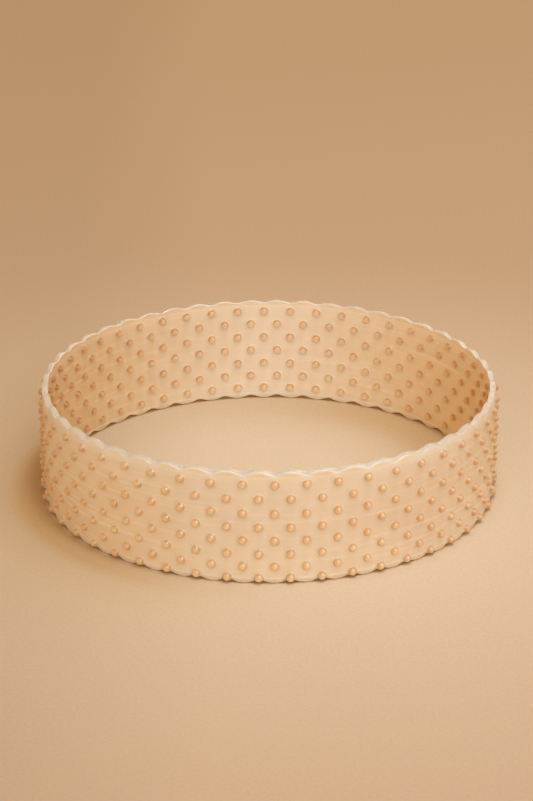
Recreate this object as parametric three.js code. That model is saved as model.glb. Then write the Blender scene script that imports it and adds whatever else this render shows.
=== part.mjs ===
// Wig grip band: a seamless hoop of soft translucent silicone with small round dots inside and out.
//
// It is one moulding: an upright ring wall whose top and bottom edges are scalloped, with staggered
// rows of dots on the outer face and on the inner face. Millimetres, +Z up. The origin is at the
// middle of the circle that the lower scallops stand on, and the front of the band is at -Y.

import * as THREE from 'three';

// Hoop
const HOOP_RADIUS = 78; // outer face of the unstretched hoop
const WALL_THICKNESS = 2;
const BAND_HEIGHT = 39.5; // lower scallops to the crests of the upper ones
const COLUMN_COUNT = 48; // dot columns around the hoop, and scallops along each edge

// Scalloped edges
const TOP_SCALLOP_DEPTH = 1.6;
const BOTTOM_SCALLOP_DEPTH = 1.2;

// Rise of an edge at the corners of one scallop, from one notch to the next, as a share of its
// depth: broad crests and narrow notches.
const SCALLOP_RISE = [0, 0.62, 1, 1, 0.62, 0];

// Dots
const DOT_DIAMETER = 3; // where a dot meets the wall
const DOT_HEIGHT = 1.3; // how far a dot stands out from the wall
const DOT_SIDES = 5;
const TOP_DOT_GAP = 1.3; // upper notches to the top row, on both faces
const OUTER_BOTTOM_DOT_GAP = 0.05; // lower notches to the bottom row outside
const INNER_BOTTOM_DOT_GAP = 2.25; // lower notches to the bottom row inside

// Places of the rows between the top row and the bottom row, as shares of the way down. The rows
// sit on the columns and half a column on by turns, starting on the columns.
const OUTER_ROWS = [0, 0.156, 0.312, 0.458, 0.607, 0.749, 0.888, 1];
const INNER_ROWS = [0, 1 / 6, 2 / 6, 3 / 6, 4 / 6, 5 / 6, 1];

// Look, from the photograph
const SILICONE_COLOR = '#e4c09a';
const SILICONE_ROUGHNESS = 0.35;
const SILICONE_METALNESS = 0;

const INNER_RADIUS = HOOP_RADIUS - WALL_THICKNESS;
const CORNERS_PER_COLUMN = SCALLOP_RISE.length;
const CORNER_COUNT = COLUMN_COUNT * CORNERS_PER_COLUMN;
const CORNER_ANGLE = 2 * Math.PI / CORNER_COUNT;
// Each column and each half column has one flat facet of the wall, so every dot stands on a flat.
const FACET_COUNT = COLUMN_COUNT * 2;
const FACET_ANGLE = 2 * Math.PI / FACET_COUNT;
const CORNERS_PER_FACET = CORNERS_PER_COLUMN / 2;

// Whole number kept in the range 0 to count - 1
function wrap(number, count) {
  return ((number % count) + count) % count;
}

// Height of the upper edge at a corner, counted from the first corner after a column's notch
function topEdge(corner) {
  const rise = SCALLOP_RISE[wrap(corner, CORNERS_PER_COLUMN)];
  return BAND_HEIGHT - TOP_SCALLOP_DEPTH * (1 - rise);
}

// The lower edge waves in step with the upper one: it hangs down under the upper notches.
function bottomEdge(corner) {
  const rise = SCALLOP_RISE[wrap(corner + CORNERS_PER_FACET, CORNERS_PER_COLUMN)];
  return BOTTOM_SCALLOP_DEPTH * (1 - rise);
}

// Unit vector straight out from the axis, at an angle from the front of the band
function outward(angle) {
  return new THREE.Vector3(Math.sin(angle), -Math.cos(angle), 0);
}

// Point of an edge of the wall, on the flat facet that the corner belongs to
function edgePoint(radius, corner, height) {
  const around = wrap(corner, CORNER_COUNT);
  const angle = (around + 0.5) * CORNER_ANGLE;
  const fromMiddle = angle - Math.round(angle / FACET_ANGLE) * FACET_ANGLE;
  const distance = radius * Math.cos(FACET_ANGLE / 2) / Math.cos(fromMiddle);
  return outward(angle).multiplyScalar(distance).setZ(height);
}

// Local frame of a facet, seen from the side that it faces: x runs along it, y up and z away from
// the wall. Facing is 1 for the outer face and -1 for the inner face.
function facetFrame(facet, radius, facing) {
  const out = outward(facet * FACET_ANGLE);
  const away = out.clone().multiplyScalar(facing);
  const up = new THREE.Vector3(0, 0, 1);
  const along = new THREE.Vector3().crossVectors(up, away);
  const frame = new THREE.Matrix4().makeBasis(along, up, away);
  return frame.setPosition(out.multiplyScalar(radius * Math.cos(FACET_ANGLE / 2)));
}

// Outline of a facet: along its lower edge and back along its upper edge
function facetOutline(facet, radius, facing) {
  const lower = [];
  const upper = [];
  const first = Math.round((facet - 0.5) * CORNERS_PER_FACET - 0.5);
  for (let corner = first; corner <= first + CORNERS_PER_FACET; corner++) {
    lower.push(edgePoint(radius, corner, bottomEdge(corner)));
    upper.push(edgePoint(radius, corner, topEdge(corner)));
  }
  return facing > 0 ? [...lower, ...upper.reverse()] : [...lower.reverse(), ...upper];
}

// Foot of a dot around its own middle, counterclockwise, with one corner up
function dotFoot() {
  const radius = DOT_DIAMETER / 2;
  const up = Math.PI / 2;
  const circle = new THREE.EllipseCurve(0, 0, radius, radius, up, up + 2 * Math.PI);
  return circle.getPoints(DOT_SIDES).slice(0, DOT_SIDES);
}

// Heights of the dot rows of one face, top row first
function rowHeights(shares, bottomGap) {
  const top = BAND_HEIGHT - TOP_SCALLOP_DEPTH - TOP_DOT_GAP - DOT_DIAMETER / 2;
  const lowestCorner = Math.min(...dotFoot().map((corner) => corner.y));
  const bottom = BOTTOM_SCALLOP_DEPTH + bottomGap - lowestCorner;
  return shares.map((share) => top + (bottom - top) * share);
}

// The triangles of one facet: the wall around its dots, and the dots themselves
function facetTriangles(facet, radius, facing, heights) {
  const frame = facetFrame(facet, radius, facing);
  const toLocal = frame.clone().invert();
  const flatten = (point) => {
    const local = point.clone().applyMatrix4(toLocal);
    return new THREE.Vector2(local.x, local.y);
  };
  const rows = heights.filter((height, row) => wrap(row, 2) === wrap(facet, 2));
  const outline = facetOutline(facet, radius, facing);
  const placeFoot = (height) => dotFoot().map((corner) => (
    new THREE.Vector3(corner.x, height + corner.y, 0).applyMatrix4(frame)
  ));
  const feet = rows.map(placeFoot);
  const holes = feet.map((foot) => foot.slice().reverse());

  const points = [...outline, ...holes.flat()];
  const flatHoles = holes.map((hole) => hole.map(flatten));
  const faces = THREE.ShapeUtils.triangulateShape(outline.map(flatten), flatHoles);
  const triangles = faces.map((face) => face.map((index) => points[index]));

  feet.forEach((foot, index) => {
    const tip = new THREE.Vector3(0, rows[index], DOT_HEIGHT).applyMatrix4(frame);
    foot.forEach((corner, side) => {
      triangles.push([corner, foot[(side + 1) % DOT_SIDES], tip]);
    });
  });
  return triangles;
}

// One face of the wall with its dots
function faceTriangles(radius, facing, heights) {
  const triangles = [];
  for (let facet = 0; facet < FACET_COUNT; facet++) {
    triangles.push(...facetTriangles(facet, radius, facing, heights));
  }
  return triangles;
}

// The narrow top or bottom of the wall, between its two faces: facing is 1 for the top
function edgeTriangles(edge, facing) {
  const triangles = [];
  for (let corner = 0; corner < CORNER_COUNT; corner++) {
    const outerStart = edgePoint(HOOP_RADIUS, corner, edge(corner));
    const outerEnd = edgePoint(HOOP_RADIUS, corner + 1, edge(corner + 1));
    const innerStart = edgePoint(INNER_RADIUS, corner, edge(corner));
    const innerEnd = edgePoint(INNER_RADIUS, corner + 1, edge(corner + 1));
    const pair = [
      [outerStart, outerEnd, innerEnd],
      [outerStart, innerEnd, innerStart],
    ];
    triangles.push(...(facing > 0 ? pair : pair.map((triangle) => triangle.reverse())));
  }
  return triangles;
}

function makeBand() {
  const triangles = [
    ...faceTriangles(HOOP_RADIUS, 1, rowHeights(OUTER_ROWS, OUTER_BOTTOM_DOT_GAP)),
    ...faceTriangles(INNER_RADIUS, -1, rowHeights(INNER_ROWS, INNER_BOTTOM_DOT_GAP)),
    ...edgeTriangles(topEdge, 1),
    ...edgeTriangles(bottomEdge, -1),
  ];
  const geometry = new THREE.BufferGeometry().setFromPoints(triangles.flat());
  const material = new THREE.MeshStandardMaterial({
    color: SILICONE_COLOR,
    roughness: SILICONE_ROUGHNESS,
    metalness: SILICONE_METALNESS,
  });
  const mesh = new THREE.Mesh(geometry, material);
  mesh.name = 'grip_band';
  return mesh;
}

const band = new THREE.Group();
band.add(makeBand());

export default band;
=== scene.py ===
import math

import bmesh
import bpy
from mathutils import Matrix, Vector


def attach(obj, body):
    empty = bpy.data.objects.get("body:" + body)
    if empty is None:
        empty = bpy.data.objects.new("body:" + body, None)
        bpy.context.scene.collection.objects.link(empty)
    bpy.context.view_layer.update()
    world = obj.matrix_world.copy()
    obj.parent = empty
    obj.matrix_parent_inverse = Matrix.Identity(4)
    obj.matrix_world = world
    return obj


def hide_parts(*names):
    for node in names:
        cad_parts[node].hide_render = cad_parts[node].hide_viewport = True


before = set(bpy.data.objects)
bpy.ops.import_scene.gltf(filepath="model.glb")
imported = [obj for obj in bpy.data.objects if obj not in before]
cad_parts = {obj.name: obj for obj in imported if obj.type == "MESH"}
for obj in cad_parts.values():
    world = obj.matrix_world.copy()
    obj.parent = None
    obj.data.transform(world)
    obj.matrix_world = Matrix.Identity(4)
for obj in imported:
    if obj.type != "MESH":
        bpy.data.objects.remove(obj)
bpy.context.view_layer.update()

# The band: one moulding of soft translucent silicone, an upright ring wall with scalloped edges and
# round dots on both faces. One column of the pattern is made flat, with x in columns, y the distance
# from the axis and z the height in millimetres, then bent and turned round the axis 48 times.
MM = 0.001
COLUMNS = 48
COLUMN_ANGLE = 2 * math.pi / COLUMNS
OUTER_RADIUS = 78.0
WALL = 2.0
INNER_RADIUS = OUTER_RADIUS - WALL
MIDDLE_RADIUS = (INNER_RADIUS + OUTER_RADIUS) / 2
# Heights of the faint lines round the wall, where its lips begin
TOP_LINE = 37.2
BOTTOM_LINE = 1.7
# Heights of the rows of dots, top row first
OUTER_ROWS = (34.85, 29.85, 24.78, 19.95, 15.28, 10.55, 6.1, 2.05)
INNER_ROWS = (35.2, 30.15, 24.85, 19.68, 14.4, 9.35, 4.4)
# Radius of each ring of a dot, widest first, and how far it stands out from the wall
DOT_RINGS = ((1.92, 0.0), (1.58, 0.1), (1.5, 0.65), (1.06, 1.33), (0.0, 1.75))
DOT_REACH = DOT_RINGS[0][0]
FOOT_RADIUS = DOT_RINGS[1][0]
# Each dot is raised from a cell with this many parts along each side
CELL_STEPS = 3
DOT_TURN = 2 * math.pi / (4 * CELL_STEPS)
FIRST_CORNER = math.radians(45)
# Cut round a cell before its new points are put in their places
CUT_WIDTH = 0.001
# Kept between the foot of a dot and the lower side of its cell
CELL_GAP = 0.05
# Columns from the middle of the pattern's column to its lowest outer dot
LOWEST_DOT = 0.5
# Points closer than this are one
SAME_PLACE = 1e-4

band = bmesh.new()
# Where a point lies on its dot: right and up of the middle, and 0 beyond the foot to 1 at the tip
dot_place = band.verts.layers.float_vector.new("dot")
# How much of the pale rim with its painted highlights it takes, and above 1 the dip's painted shade
rim_and_highlight_share = band.verts.layers.float.new("rim")


def dot_height(distance):
    """How far the wall stands out at a distance from the middle of a dot."""
    for (wide, low), (narrow, high) in zip(DOT_RINGS, DOT_RINGS[1:]):
        if distance >= wide:
            return low
        if distance > narrow:
            return low + (high - low) * (wide - distance) / (wide - narrow)
    return DOT_RINGS[-1][1]


def place_on_dot(across, up, fade=1.0):
    """Where a point lies on its dot, in shares of the dot's reach."""
    nearness = max(0.0, 1 - math.hypot(across, up) / DOT_REACH)
    return (across / DOT_REACH, up / DOT_REACH, nearness * fade)


def raise_dot(cell, column, height, radius, facing, room_below):
    """Turns one flat cell of a face into a dot. room_below is how far its foot may reach down."""
    arc = radius * COLUMN_ANGLE
    squeeze = min(1.0, room_below / DOT_REACH)

    def turn(vert):
        angle = math.atan2(vert.co.z - height, (vert.co.x - column) * arc)
        return (angle - DOT_TURN) % (2 * math.pi)

    for ring_radius, _ in DOT_RINGS[:-1]:
        bmesh.ops.inset_individual(band, faces=[cell], thickness=CUT_WIDTH)
        for step, vert in enumerate(sorted(cell.verts, key=turn)):
            angle = FIRST_CORNER + step * DOT_TURN
            across = ring_radius * math.cos(angle)
            up = ring_radius * math.sin(angle)
            if up < 0:
                up *= squeeze
            vert.co.x = column + across / arc
            vert.co.y = radius + facing * dot_height(math.hypot(across, up))
            vert.co.z = height + up
            vert[dot_place] = place_on_dot(across * facing, up)
    poked = bmesh.ops.poke(band, faces=[cell])
    for vert in poked["verts"]:
        vert.co = (column, radius + facing * dot_height(0.0), height)
        vert[dot_place] = (0.0, 0.0, 1.0)


def make_face(rows, radius, facing):
    """One column of a face: a grid of cells two wide, with a dot in every other one. The cells on
    the left are centred on the column and those on the right half a column on."""
    lines = [TOP_LINE]
    lines += [(upper + lower) / 2 for upper, lower in zip(rows, rows[1:])]
    lines.append(BOTTOM_LINE)
    lines.reverse()
    made = bmesh.ops.create_grid(
        band, x_segments=2 * CELL_STEPS, y_segments=len(rows) * CELL_STEPS, size=0.5)
    for vert in made["verts"]:
        place = (vert.co.y + 0.5) * len(rows)
        line = min(int(place + SAME_PLACE), len(rows) - 1)
        vert.co.z = lines[line] + (lines[line + 1] - lines[line]) * (place - line)
        vert.co.x += 0.25  # so it runs from a quarter column before the middle to three quarters after
        vert.co.y = radius
    cells = {}
    for face in dict.fromkeys(face for vert in made["verts"] for face in vert.link_faces):
        middle = face.calc_center_median()
        row = next(i for i in range(len(rows)) if middle.z > lines[len(rows) - 1 - i])
        side = 0 if middle.x < 0.25 else 1
        cells.setdefault((row, side), []).append(face)
    for (row, side), faces in sorted(cells.items()):
        if row % 2 == side:
            cell = bmesh.ops.dissolve_faces(band, faces=faces)["region"][0]
            room_below = rows[row] - lines[len(rows) - 1 - row] - CELL_GAP
            raise_dot(cell, side / 2, rows[row], radius, facing, room_below)


make_face(OUTER_ROWS, OUTER_RADIUS, 1)
make_face(INNER_ROWS, INNER_RADIUS, -1)

# The scalloped lips: the wall runs on past its faint line, then rounds over from the outer face to
# the inner one. The upper lip dips between its two rounded corners.
TOP_CREST = {"outer": 39.15, "inner": 39.35}
TOP_DEPTH = {"outer": 1.4, "inner": 0.9}
BOTTOM_DEPTH = 1.25
TOP_ROUND = 0.3
BOTTOM_ROUND = 0.2
TOP_DIP = 0.14
NOTCH_ROUND = 0.3
LIP_CUTS = 3
CORNER_TURNS = (0, 30, 60, 90)
# How much of the pale rim with its painted highlights each row of points takes: round the outer
# corner, in the dip, round the inner corner and half way down the inner side. From 1 to 2 it turns
# to the dip darkened by painted shade.
TOP_RIM = ((0.4, 0.9, 1.0, 0.9), 2.0, (0.9, 1.0, 0.9, 0.6), 0.15)
BOTTOM_RIM = ((0.0,) * 4, 0.0, (0.0,) * 4, 0.0)


def crest(phase):
    """0 at a notch and 1 at the crest half a column on, with the notch rounded."""
    wave = math.hypot(math.sin(math.pi * phase), NOTCH_ROUND)
    return (wave - NOTCH_ROUND) / (math.hypot(1, NOTCH_ROUND) - NOTCH_ROUND)


def top_edge(column, side):
    return TOP_CREST[side] - TOP_DEPTH[side] * (1 - crest(column))


def bottom_edge(column, side):
    """The lowest outer dots hang a little past the notches."""
    height = BOTTOM_DEPTH * (1 - crest(column - LOWEST_DOT))
    across = abs(column - LOWEST_DOT) * OUTER_RADIUS * COLUMN_ANGLE
    if side == "outer" and across < FOOT_RADIUS:
        height = min(height, OUTER_ROWS[-1] - math.sqrt(FOOT_RADIUS ** 2 - across ** 2))
    return height


def lip_section(column, edge_height, line, up, rounding, dip, rims):
    """The points of a lip over one place of the wall, outer face first: depth, height, how much
    of a dot's swelling it takes, and how much of the pale rim, with its painted highlights and the
    dip's painted shade."""
    outer = edge_height(column, "outer") - up * rounding
    inner = edge_height(column, "inner") - up * rounding
    points = [(0.0, (2 * line + outer) / 3, 1.0, 0.0), (0.0, (line + 2 * outer) / 3, 1.0, 0.0)]
    outer_rims, dip_rim, inner_rims, side_rim = rims
    for degrees, rim in zip(CORNER_TURNS, outer_rims):
        turn = math.radians(degrees)
        depth = rounding * (1 - math.cos(turn))
        points.append((depth, outer + up * rounding * math.sin(turn), math.cos(turn), rim))
    points.append((WALL / 2, (outer + inner) / 2 + up * (rounding - dip), 0.0, dip_rim))
    for degrees, rim in zip(reversed(CORNER_TURNS), inner_rims):
        turn = math.radians(degrees)
        depth = WALL - rounding * (1 - math.cos(turn))
        points.append((depth, inner + up * rounding * math.sin(turn), 0.0, rim))
    points.append((WALL, (line + inner) / 2, 0.0, side_rim))
    points.append((WALL, line, 0.0, 0.0))
    return points


def open_edges(radius, line):
    """The edges along one line of the wall that have a face on one side only."""
    def on_line(vert):
        same_face = (vert.co.y - MIDDLE_RADIUS) * (radius - MIDDLE_RADIUS) > 0
        return same_face and abs(vert.co.z - line) < SAME_PLACE

    return [edge for edge in band.edges
            if edge.is_boundary and all(on_line(vert) for vert in edge.verts)]


def swell_by_dots(vert, fade):
    """Lets the lowest outer dots run on into the lower lip."""
    across = (vert.co.x - LOWEST_DOT) * OUTER_RADIUS * COLUMN_ANGLE
    up = vert.co.z - OUTER_ROWS[-1]
    vert.co.y += dot_height(math.hypot(across, up)) * fade
    vert[dot_place] = place_on_dot(across, up, fade)


def make_lip(edge_height, line, up, rounding, dip, rims):
    """Draws the wall out from its line on the outer face, over the lip and down to the inner one."""
    both_lines = open_edges(OUTER_RADIUS, line) + open_edges(INNER_RADIUS, line)
    bmesh.ops.subdivide_edges(band, edges=both_lines, cuts=LIP_CUTS)
    edges = open_edges(OUTER_RADIUS, line)
    if up < 0:
        for vert in {vert for edge in edges for vert in edge.verts}:
            vert.co.y = OUTER_RADIUS
            swell_by_dots(vert, 1.0)
    for row in range(len(lip_section(0.0, edge_height, line, up, rounding, dip, rims))):
        grown = bmesh.ops.extrude_edge_only(band, edges=edges)["geom"]
        verts = {part for part in grown if isinstance(part, bmesh.types.BMVert)}
        edges = [part for part in grown if isinstance(part, bmesh.types.BMEdge)
                 and all(vert in verts for vert in part.verts)]
        for vert in verts:
            section = lip_section(vert.co.x, edge_height, line, up, rounding, dip, rims)
            depth, height, fade, rim = section[row]
            vert.co.y = OUTER_RADIUS - depth
            vert.co.z = height
            vert[dot_place] = (0.0, 0.0, 0.0)
            vert[rim_and_highlight_share] = rim
            if up < 0 and fade > 0:
                swell_by_dots(vert, fade)


make_lip(top_edge, TOP_LINE, 1, TOP_ROUND, TOP_DIP, TOP_RIM)
make_lip(bottom_edge, BOTTOM_LINE, -1, BOTTOM_ROUND, 0.0, BOTTOM_RIM)
bmesh.ops.remove_doubles(band, verts=band.verts, dist=SAME_PLACE)


def face_order(face):
    """A number of its own for each face, from three of its points."""
    first, second, third = sorted(vert.index for vert in face.verts)[:3]
    return (first * len(band.verts) + second) * len(band.verts) + third


# Extruding leaves the faces in an order that changes from run to run
band.verts.index_update()
band.faces.sort(key=face_order)

# The flat column is bent, and repeated round the axis. Points closer than the weld, in metres, are
# merged where one column meets the next.
WELD = 3e-6
for vert in band.verts:
    angle = vert.co.x * COLUMN_ANGLE
    vert.co = Vector((
        vert.co.y * math.sin(angle), -vert.co.y * math.cos(angle), vert.co.z)) * MM
bmesh.ops.spin(
    band, geom=band.verts[:] + band.edges[:] + band.faces[:], cent=(0, 0, 0), axis=(0, 0, 1),
    dvec=(0, 0, 0), angle=COLUMN_ANGLE * (COLUMNS - 1), steps=COLUMNS - 1, use_duplicate=True)
bmesh.ops.remove_doubles(band, verts=band.verts, dist=WELD)

# The dots are a little smaller at the two sides of the hoop than at its front and back. Their
# shrinking sets in over the first fifth of the way from their reach to their middle.
SIDE_SHRINK = 0.1
SIDE_SHRINK_UP = 0.2
SHRINK_EASE = 5
for vert in band.verts:
    across, up, near = vert[dot_place]
    share = min(1.0, near * SHRINK_EASE) * DOT_REACH * MM
    from_axis = Vector((vert.co.x, vert.co.y, 0))
    side = abs(vert.co.x) / from_axis.length
    facing = 1 if from_axis.length > MIDDLE_RADIUS * MM else -1
    along = Vector((-vert.co.y, vert.co.x, 0)) / from_axis.length * facing
    vert.co -= side * share * (along * across * SIDE_SHRINK + Vector((0, 0, up)) * SIDE_SHRINK_UP)

bmesh.ops.recalc_face_normals(band, faces=band.faces)
for face in band.faces:
    face.smooth = True
band_mesh = bpy.data.meshes.new("moulded_band")
band.to_mesh(band_mesh)
band.free()
moulded_band = bpy.data.objects.new("moulded_band", band_mesh)
bpy.context.collection.objects.link(moulded_band)

# The silicone: light spreads inside it under a glossy skin. It is pale and milky in the wall and
# the rim, and amber in the dots.
silicone = bpy.data.materials.new("translucent_silicone")
silicone.use_nodes = True
nodes = silicone.node_tree.nodes
links = silicone.node_tree.links
shader = nodes["Principled BSDF"]


def rgb(red, green, blue):
    """Screen colour, 0 to 255, as the renderer's own linear colour."""
    def linear(value):
        value /= 255
        return value / 12.92 if value <= 0.04045 else ((value + 0.055) / 1.055) ** 2.4
    return (linear(red), linear(green), linear(blue), 1.0)


def node(kind, **settings):
    """A new node, with its properties set."""
    made = nodes.new("ShaderNode" + kind)
    for name, value in settings.items():
        setattr(made, name, value)
    return made


def put(value, socket):
    """Gives a socket a value, or a link if the value is a socket itself."""
    if isinstance(value, bpy.types.NodeSocket):
        links.new(value, socket)
    else:
        socket.default_value = value


def maths(operation, *values):
    """A sum on values or sockets."""
    made = node("Math", operation=operation)
    for slot, value in enumerate(values):
        put(value, made.inputs[slot])
    return made.outputs["Value"]


def times(first, second):
    return maths("MULTIPLY", first, second)


def less(first, second):
    return maths("SUBTRACT", first, second)


def from_signed(value):
    """Takes the range from -1 to 1 to the range from 0 to 1."""
    return maths("ADD", times(value, 0.5), 0.5)


def vectors(operation, *values):
    """The node of a sum on vectors."""
    made = node("VectorMath", operation=operation)
    for slot, value in enumerate(values):
        put(value, made.inputs[slot])
    return made


def split(vector):
    """The X, Y and Z of a vector."""
    made = node("SeparateXYZ")
    links.new(vector, made.inputs["Vector"])
    return made.outputs["X"], made.outputs["Y"], made.outputs["Z"]


def ramp(source, *stops):
    """A colour ramp over a value, from stops of position and colour."""
    made = node("ValToRGB")
    links.new(source, made.inputs["Fac"])
    elements = made.color_ramp.elements
    elements[0].position, elements[0].color = stops[0]
    elements[1].position, elements[1].color = stops[-1]
    for position, colour in stops[1:-1]:
        elements.new(position).color = colour
    return made.outputs["Color"]


def grey_ramp(source, *stops):
    """A grey ramp over a value, from stops of position and amount."""
    return ramp(source, *((position, (amount, amount, amount, 1.0)) for position, amount in stops))


def mix(amount, first, second, blend="MIX"):
    """Two colours mixed. Amount and second may each be a value or a socket."""
    made = node("Mix", data_type="RGBA", blend_type=blend)
    links.new(first, made.inputs["A"])
    put(amount, made.inputs["Factor"])
    put(second, made.inputs["B"])
    return made.outputs["Result"]


def noise(source, scale, detail):
    """Soft noise, from 0 to 1."""
    made = node("TexNoise")
    made.inputs["Scale"].default_value = scale
    made.inputs["Detail"].default_value = detail
    links.new(source, made.inputs["Vector"])
    return made.outputs["Fac"]


place = node("TexCoord").outputs["Object"]
to_right, _, height = split(place)
across_dot, above_middle, nearness = split(node("Attribute", attribute_name="dot").outputs["Vector"])

# Which way is out from the hoop's axis, and whether the surface faces that way
outward = vectors("NORMALIZE", vectors("MULTIPLY", place, (1, 1, 0)).outputs["Vector"])
outward = outward.outputs["Vector"]
surface = node("NewGeometry").outputs["Normal"]
agreement = vectors("DOT_PRODUCT", surface, outward).outputs["Value"]
inside = maths("LESS_THAN", agreement, 0.0)
outside = less(1.0, inside)
# From -1 at the left side of the hoop to 1 at its right side
rightward = maths("DIVIDE", to_right, OUTER_RADIUS * MM)
outer_rightward = times(outside, rightward)

# Amber dots like clear beads, with painted light and shade: a pale painted halo round the foot, an
# amber edge with painted shade, darkest above and fading out below, a lighter painted core, and a
# painted highlight at the upper right. The painted shade and highlight turn over the outer dots
# towards the two sides of the hoop.
WALL_COLOUR = rgb(240, 233, 218)
PAINTED_GLOW_COLOUR = rgb(244, 243, 237)
DOT_COLOUR = rgb(245, 216, 179)
LIT_CORE_COLOUR = rgb(245, 220, 186)
EDGE_COLOUR = rgb(231, 184, 119)
INNER_EDGE_COLOUR = rgb(216, 160, 84)
PAINTED_HIGHLIGHT_COLOUR = rgb(243, 246, 243)
SHADE_PAINT_TURN = 2.1
SIDE_EDGE_FADE = 0.42
INNER_AMBER = 0.25
HIGHLIGHT_PLACE = (0.17, 0.42)
HIGHLIGHT_SIZE = (0.19, 0.32)
HIGHLIGHT_SHIFT = 0.48
HIGHLIGHT_GROWTH = 0.6
INNER_HIGHLIGHT_FADE = 0.6
# Nearness to the middle of a dot at the outside of its painted halo, at its foot and just above it
RING_START = 0.08
FOOT = 0.17
FOOT_TOP = 0.21
# Painted light: a pale halo ring round the foot and a lighter core
colour = ramp(
    nearness, (0.0, WALL_COLOUR), (RING_START, PAINTED_GLOW_COLOUR), (FOOT, PAINTED_GLOW_COLOUR),
    (FOOT_TOP, DOT_COLOUR), (1.0, LIT_CORE_COLOUR))
on_dot = grey_ramp(nearness, (FOOT, 0.0), (0.22, 1.0))
# The edge's painted shade falls on its upper side, turned round over the outer dots at the sides
shade_turn = times(outer_rightward, SHADE_PAINT_TURN)
toward_shaded_edge = less(
    times(above_middle, maths("COSINE", shade_turn)), times(across_dot, maths("SINE", shade_turn)))
edge = times(
    grey_ramp(nearness, (FOOT, 0.0), (FOOT_TOP, 1.0), (0.29, 0.9), (0.48, 0.4), (1.0, 0.0)),
    grey_ramp(from_signed(toward_shaded_edge), (0.15, 0.0), (0.42, 0.75), (0.8, 1.0)))
edge = times(edge, less(1.0, times(maths("ABSOLUTE", outer_rightward), SIDE_EDGE_FADE)))
colour = mix(times(edge, outside), colour, EDGE_COLOUR)
inner_edge_and_shade = maths("MAXIMUM", edge, times(on_dot, INNER_AMBER))
colour = mix(times(inner_edge_and_shade, inside), colour, INNER_EDGE_COLOUR)

# A painted highlight at the upper right of each dot, shifted and widened towards the sides
highlight_across = less(HIGHLIGHT_PLACE[0], times(outer_rightward, HIGHLIGHT_SHIFT))
highlight_breadth = times(HIGHLIGHT_SIZE[0], maths("ADD", 1.0, times(outer_rightward, HIGHLIGHT_GROWTH)))
from_highlight = node("CombineXYZ")
put(maths("DIVIDE", less(across_dot, highlight_across), highlight_breadth), from_highlight.inputs["X"])
put(maths("DIVIDE", less(above_middle, HIGHLIGHT_PLACE[1]), HIGHLIGHT_SIZE[1]), from_highlight.inputs["Y"])
painted_highlight = grey_ramp(
    vectors("LENGTH", from_highlight.outputs["Vector"]).outputs["Value"],
    (0.0, 0.95), (0.45, 0.6), (1.0, 0.0))
painted_highlight = times(painted_highlight, less(1.0, times(inside, INNER_HIGHLIGHT_FADE)))
colour = mix(times(painted_highlight, on_dot), colour, PAINTED_HIGHLIGHT_COLOUR)
# Painted light: the lower half of each inner dot is lighter
inner_painted_glow = grey_ramp(from_signed(above_middle), (0.15, 0.7), (0.5, 0.2), (0.65, 0.0))
colour = mix(times(inside, times(inner_painted_glow, on_dot)), colour, PAINTED_GLOW_COLOUR)

# Painted shade: a deeper, darker amber towards the two sides of the hoop, most of all inside
SIDE_SHADE_TINT = (0.95, 0.79, 0.49, 1.0)
SIDE_SHADE_POWER = 1.5
OUTSIDE_SIDE_SHADE = 0.22
# Painted shade outside the hoop, from its left side to its right
OUTER_SHADE_TINTS = (
    (0.0, (0.98, 0.93, 0.84, 1.0)),
    (0.175, (0.96, 0.905, 0.79, 1.0)),
    (0.35, (0.937, 0.91, 0.855, 1.0)),
    (0.6, (0.937, 0.905, 0.855, 1.0)),
    (0.82, (0.912, 0.848, 0.783, 1.0)),
    (1.0, (0.937, 0.895, 0.81, 1.0)))
INNER_LEFT_SHADE = (0.88, 0.83, 0.78, 1.0)
sideways = maths("POWER", maths("ABSOLUTE", maths(
    "DIVIDE", to_right, INNER_RADIUS * MM)), SIDE_SHADE_POWER)
side_shade_share = maths("ADD", times(inside, 1 - OUTSIDE_SIDE_SHADE), OUTSIDE_SIDE_SHADE)
colour = mix(times(sideways, side_shade_share), colour, SIDE_SHADE_TINT, "MULTIPLY")
colour = mix(outside, colour, ramp(from_signed(rightward), *OUTER_SHADE_TINTS), "MULTIPLY")
# Painted shade on the inner face at the left side of the hoop
inner_leftward = times(maths("MAXIMUM", 0.0, times(rightward, -1.0)), inside)
colour = mix(inner_leftward, colour, INNER_LEFT_SHADE, "MULTIPLY")

# Milky lips: amber at the edges, a pale strip at each faint line, painted light along the lower
# edge, a painted sheen as a veil under the upper edge at the two sides, and a paler rim with painted
# highlights on its corners, dimmed by painted shade at the sides, and a dip darkened by painted shade
MILK_AND_SHEEN_COLOUR = rgb(238, 238, 228)
RIM_AND_HIGHLIGHT_COLOUR = rgb(208, 210, 207)
SIDE_RIM_SHADE = (0.84, 0.81, 0.78, 1.0)
SIDE_RIM_FADE = 0.3
DIP_SHADE_COLOUR = rgb(209, 206, 198)
HIGHEST = 40
lift = node("MapRange")
lift.inputs["From Max"].default_value = HIGHEST * MM
links.new(height, lift.inputs["Value"])


def by_height(*stops):
    """A grey ramp over the height, from stops of millimetres and amount."""
    return grey_ramp(lift.outputs["Result"], *((level / HIGHEST, amount) for level, amount in stops))


clear_of_dots = grey_ramp(nearness, (0.1, 1.0), (0.25, 0.15))
amber_edges = by_height(
    (0.4, 0.0), (0.6, 0.2), (1.3, 0.2), (1.55, 0.0), (37.5, 0.0), (37.8, 0.12), (40.0, 0.12))
# Pale strips at the faint lines, and a line of painted light along the lower edge
milky_strips_and_edge_light = by_height(
    (0.0, 0.3), (0.4, 0.3), (0.6, 0.0), (1.4, 0.0), (1.65, 0.5), (2.0, 0.5), (2.3, 0.0),
    (24.0, 0.0), (35.5, 0.16), (36.5, 0.22), (36.8, 0.42), (37.3, 0.42), (37.7, 0.0), (38.3, 0.05))
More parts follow.
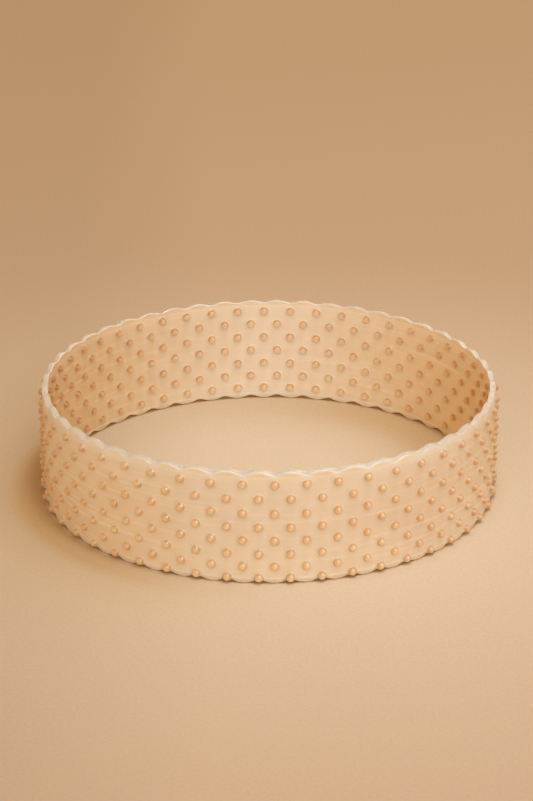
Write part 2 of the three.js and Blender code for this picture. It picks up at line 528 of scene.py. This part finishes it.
# Painted sheen: a whiter veil under the upper edge at the two sides
painted_sheen_veil = by_height((33.0, 0.0), (35.5, 0.25), (37.3, 0.6), (39.0, 0.8))
at_side = grey_ramp(maths("ABSOLUTE", outer_rightward), (0.25, 0.0), (0.65, 1.0))
colour = mix(times(amber_edges, clear_of_dots), colour, EDGE_COLOUR)
colour = mix(times(milky_strips_and_edge_light, clear_of_dots), colour, MILK_AND_SHEEN_COLOUR)
colour = mix(times(times(painted_sheen_veil, at_side), clear_of_dots), colour, MILK_AND_SHEEN_COLOUR)
rim = node("Attribute", attribute_name="rim").outputs["Fac"]
# Painted highlights on the rim's corners, dimmed by painted shade at the sides
pale_rim_and_highlight = maths("MINIMUM", rim, 1.0)
colour = mix(times(pale_rim_and_highlight, less(1.0, times(at_side, SIDE_RIM_FADE))), colour, RIM_AND_HIGHLIGHT_COLOUR)
colour = mix(times(pale_rim_and_highlight, at_side), colour, SIDE_RIM_SHADE, "MULTIPLY")
# Painted shade in the dip of the rim
colour = mix(maths("MAXIMUM", less(rim, 1.0), 0.0), colour, DIP_SHADE_COLOUR)

# Fine streaks round the hoop, left by the mould, over a soft cloudiness
STREAK_SHAPE = (22, 22, 900)
STREAK_STRENGTH = 0.2
SIDE_STREAKS = 0.4
CLOUD_STRENGTH = 0.25
stretch = node("Mapping")
stretch.inputs["Scale"].default_value = STREAK_SHAPE
links.new(place, stretch.inputs["Vector"])
streaks = noise(stretch.outputs["Vector"], scale=1.0, detail=5.0)
streak_tone = grey_ramp(streaks, (0.3, 0.38), (0.55, 0.48), (0.72, 0.95))
streak_share = maths("ADD", times(sideways, SIDE_STREAKS), STREAK_STRENGTH)
colour = mix(streak_share, colour, streak_tone, "SOFT_LIGHT")
cloud_tone = grey_ramp(noise(place, scale=90.0, detail=3.0), (0.3, 0.3), (0.7, 0.7))
colour = mix(CLOUD_STRENGTH, colour, cloud_tone, "SOFT_LIGHT")
links.new(colour, shader.inputs["Base Color"])

# The clear dots show the wall behind them, so most of their shading is the wall's own. The clear
# coat keeps their true shape, and the streaks are slightly raised.
FLATTEN = 0.97
wall_facing = vectors("SCALE", outward)
links.new(maths("SIGN", agreement), wall_facing.inputs["Scale"])
facing_wall = node("Mix", data_type="VECTOR")
links.new(grey_ramp(nearness, (0.0, 0.0), (0.12, FLATTEN), (1.0, FLATTEN)),
          facing_wall.inputs["Factor"])
links.new(surface, facing_wall.inputs["A"])
links.new(wall_facing.outputs["Vector"], facing_wall.inputs["B"])
ridges = node("Bump")
ridges.inputs["Strength"].default_value = 0.15
ridges.inputs["Distance"].default_value = 0.2 * MM
links.new(streaks, ridges.inputs["Height"])
links.new(facing_wall.outputs["Result"], ridges.inputs["Normal"])
links.new(ridges.outputs["Normal"], shader.inputs["Normal"])

shader.subsurface_method = "RANDOM_WALK"
for name, value in (
        ("Subsurface Weight", 1.0), ("Subsurface Radius", (1.0, 0.85, 0.7)),
        ("Subsurface Scale", 1.8 * MM), ("IOR", 1.41), ("Roughness", 0.38),
        ("Specular IOR Level", 0.4), ("Coat Weight", 1.0), ("Coat Roughness", 0.26),
        ("Coat IOR", 1.41)):
    shader.inputs[name].default_value = value
band_mesh.materials.append(silicone)

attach(moulded_band, "root")
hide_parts("grip_band")

# The floor it stands on: a plain pale matt surface with a fine grain. Close to the band a painted
# amber shadow stands for the band's shade and the amber light that comes through the silicone, with
# a painted contact shadow darkest where the band stands. Painted shade dulls it towards the left.
FLOOR_SIZE = 4.0
GRAIN_DARK = rgb(210, 193, 170)
GRAIN_PALE = rgb(217, 203, 180)
# Colour of the painted amber shadow, and the painted shade towards the left
AMBER_SHADE = (0.75, 0.55, 0.28, 1.0)
LEFT_SHADE = (0.9, 0.9, 0.88, 1.0)
LEFT_SHADE_START = -20
LEFT_SHADE_FULL = -80
SHADOW_REACH = 160
floor_mesh = bpy.data.meshes.new("floor")
floor_shape = bmesh.new()
bmesh.ops.create_grid(floor_shape, x_segments=1, y_segments=1, size=FLOOR_SIZE)
floor_shape.to_mesh(floor_mesh)
floor_shape.free()
floor = bpy.data.objects.new("floor", floor_mesh)
bpy.context.collection.objects.link(floor)
matt_floor = bpy.data.materials.new("pale_floor")
matt_floor.use_nodes = True
nodes = matt_floor.node_tree.nodes
links = matt_floor.node_tree.links
shader = nodes["Principled BSDF"]
place = node("TexCoord").outputs["Object"]
from_axis = maths("DIVIDE", vectors("LENGTH", place).outputs["Value"], SHADOW_REACH * MM)
side_share = from_signed(split(vectors("NORMALIZE", place).outputs["Vector"])[0])


def by_distance(*stops):
    """A grey ramp over the distance from the hoop's axis, from stops of millimetres and amount."""
    return grey_ramp(from_axis, *((far / SHADOW_REACH, amount) for far, amount in stops))


# Painted amber shadow inside the hoop, most of all at its right
inside_shadow = times(
    by_distance(
        (30, 0.0), (47, 0.15), (55, 0.35), (60, 0.55), (66, 0.72), (75.5, 0.8), (78, 0.0)),
    grey_ramp(side_share, (0.0, 0.35), (0.25, 0.3), (0.5, 0.5), (0.75, 0.85), (0.9, 1.0)))
# Painted amber shadow outside the hoop, most of all at its left
outside_shadow = times(
    by_distance(
        (78, 0.0), (79, 0.9), (86, 0.85), (92, 0.45), (105, 0.2), (130, 0.1), (160, 0.0)),
    grey_ramp(side_share, (0.0, 1.0), (0.15, 0.9), (0.35, 0.35), (0.5, 0.1), (0.7, 0.0)))
# Painted contact shadow where the band stands
contact_shadow = by_distance(
    (75.2, 0.0), (76, 1.0), (77.7, 1.0), (78.3, 0.4), (79.1, 0.15), (84, 0.0))
painted_floor_shadow = maths("MAXIMUM", contact_shadow, maths("MAXIMUM", inside_shadow, outside_shadow))
# Painted shade, growing towards the left
left_shade = node("MapRange")
left_shade.inputs["From Min"].default_value = LEFT_SHADE_START * MM
left_shade.inputs["From Max"].default_value = LEFT_SHADE_FULL * MM
links.new(split(place)[0], left_shade.inputs["Value"])
colour = ramp(noise(place, scale=900.0, detail=3.0), (0.25, GRAIN_DARK), (0.75, GRAIN_PALE))
colour = mix(painted_floor_shadow, colour, AMBER_SHADE, "MULTIPLY")
colour = mix(left_shade.outputs["Result"], colour, LEFT_SHADE, "MULTIPLY")
links.new(colour, shader.inputs["Base Color"])
shader.inputs["Roughness"].default_value = 0.8
floor_mesh.materials.append(matt_floor)


# Soft studio light: a large key and a smaller lamp from the front, a faint one from the right, and
# a soft pool of light on the band. Two lamps at the right, one in front and one behind, give only
# gleams. The room round it is warm.
def hang(name, lamp, position, aim, power, colour):
    """Hangs a lamp up, turned towards its aim."""
    lamp.energy = power
    lamp.color = colour
    holder = bpy.data.objects.new(name, lamp)
    holder.location = position
    holder.rotation_euler = (Vector(aim) - Vector(position)).to_track_quat("-Z", "Y").to_euler()
    bpy.context.collection.objects.link(holder)
    return holder


def hang_disc(name, size, position, aim, power, colour):
    """Hangs up a round soft lamp."""
    lamp = bpy.data.lights.new(name, "AREA")
    lamp.shape = "DISK"
    lamp.size = size
    return hang(name, lamp, position, aim, power, colour)


hang_disc("key", 1.8, (0.14, -1.75, 1.5), (0, 0, 0), 16.5, (0.91, 0.96, 1.0))
hang_disc("front", 0.8, (0.15, -1.55, 0.8), (0, 0, 0), 2.3, (0.88, 0.93, 1.0))
hang_disc("side", 0.2, (0.9, -0.1, 0.07), (0, 0, 0.02), 0.2, (0.77, 0.89, 1.0))
gleams = (
    hang_disc("glint", 0.25, (0.56, -0.59, 0.84), (0, 0, 0.02), 10.0, (1.0, 0.97, 0.93)),
    hang_disc("back_glint", 0.5, (0.5, 0.9, 0.75), (0, 0, 0.04), 0.9, (1.0, 0.97, 0.93)))
for holder in gleams:
    holder.visible_diffuse = False
pool = bpy.data.lights.new("pool", "SPOT")
pool.shadow_soft_size = 0.12
pool.spot_size = math.radians(22)
pool.spot_blend = 1.0
hang("pool", pool, (0.12, -0.15, 0.95), (0.015, -0.01, 0), 17.0, (0.91, 1.0, 1.0))
world = bpy.data.worlds.new("room")
world.use_nodes = True
world.node_tree.nodes["Background"].inputs["Color"].default_value = (1.0, 0.63, 0.35, 1.0)
world.node_tree.nodes["Background"].inputs["Strength"].default_value = 0.67
bpy.context.scene.world = world
bpy.context.scene.view_settings.view_transform = "Standard"

# The camera, at the photo's angle: 0.85 m from the middle of the band, 25 degrees up and slightly
# to the left of the front. It looks at the band a little above its middle, with a long lens.
DISTANCE = 0.85
RISE = math.radians(24.83)
AZIMUTH = math.radians(-1.4)
AIM = Vector((-0.00077, 0.0, 0.03084))
FOCAL_PIXELS = 2419.4
LONG_SIDE_PIXELS = 801
SENSOR = 36.0
lens = bpy.data.cameras.new("camera")
lens.sensor_width = SENSOR
lens.lens = FOCAL_PIXELS / LONG_SIDE_PIXELS * SENSOR
lens.clip_end = 20
camera = bpy.data.objects.new("camera", lens)
camera.location = DISTANCE * Vector((
    math.sin(AZIMUTH) * math.cos(RISE), -math.cos(AZIMUTH) * math.cos(RISE), math.sin(RISE)))
camera.rotation_euler = (AIM - camera.location).to_track_quat("-Z", "Y").to_euler()
bpy.context.collection.objects.link(camera)
bpy.context.scene.camera = camera
